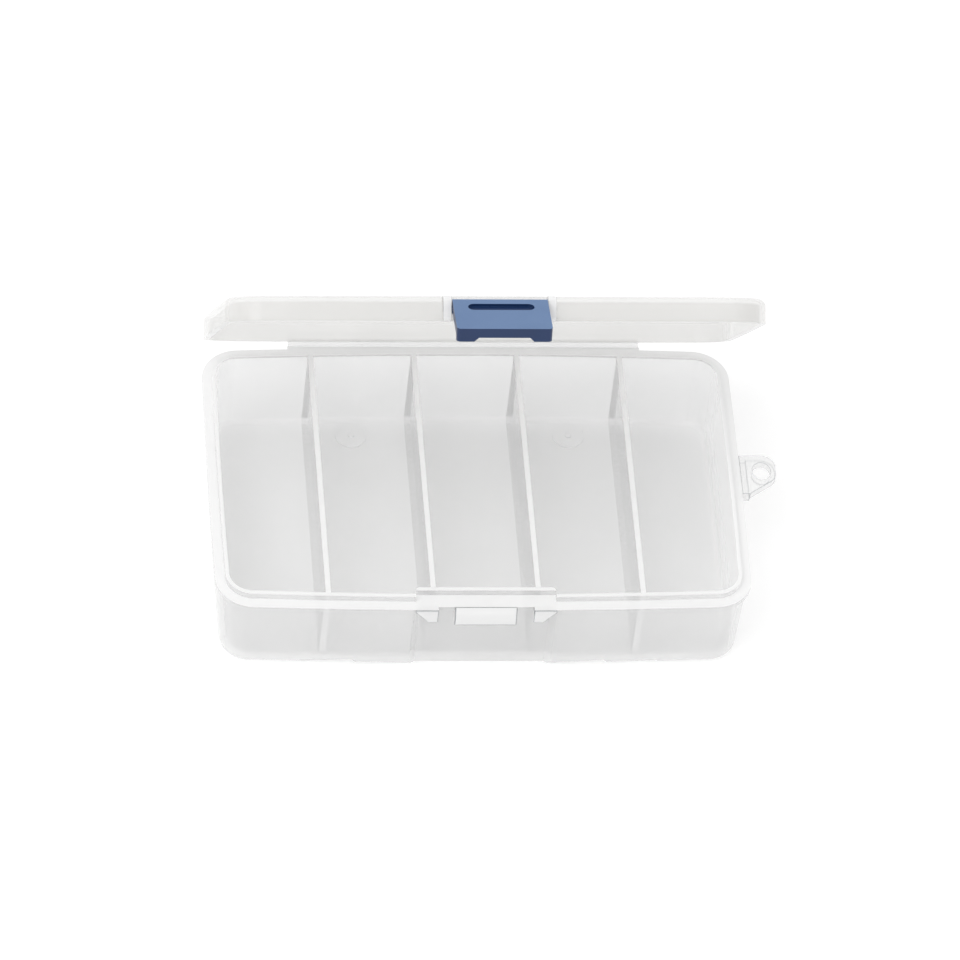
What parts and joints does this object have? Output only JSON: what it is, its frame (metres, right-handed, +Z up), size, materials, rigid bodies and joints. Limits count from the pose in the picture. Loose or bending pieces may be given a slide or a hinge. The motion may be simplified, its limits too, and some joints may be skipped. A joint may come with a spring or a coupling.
{
  "type": "lure box",
  "caption": "Shallow clear case with a row of front-to-rear compartments, a hinged lid on a folding strip, a swinging front latch and a strap eyelet.",
  "frame": {"origin": "centre of the tray's flat underside, on the surface it stands on, midway along and across the rim", "axes": "+Z up, +X along the hinge towards the strap eyelet, -Y towards the front with the catch"},
  "size_m": [0.144, 0.0936, 0.1018],
  "materials": {
    "clear_case": "clear moulded polypropylene, slightly milky, glossy",
    "blue_latch": "blue moulded polypropylene, satin gloss"
  },
  "bodies": {
    "tray": {"tray": "clear_case", "divider_1": "clear_case", "divider_2": "clear_case", "divider_3": "clear_case", "divider_4": "clear_case", "catch": "clear_case", "catch_cheek_left": "clear_case", "catch_cheek_right": "clear_case", "strap_eyelet": "clear_case", "hinge_film": "clear_case"},
    "lid": {"lid": "clear_case", "latch_lug_left": "clear_case", "latch_lug_right": "clear_case"},
    "latch": {"latch": "blue_latch"}
  },
  "joints": [
    {"name": "lid_hinge", "type": "hinge", "parent": "tray", "child": "lid", "pos_m": [0, 0.04585, 0.0238], "axis": [-1, 0, 0], "range_deg": [-51, 129], "deforming": ["hinge_film"]},
    {"name": "latch_pivot", "type": "hinge", "parent": "lid", "child": "latch", "pos_m": [0, -0.008, 0.09523], "axis": [-1, 0, 0], "range_deg": [-56.5, 48.5]}
  ]
}
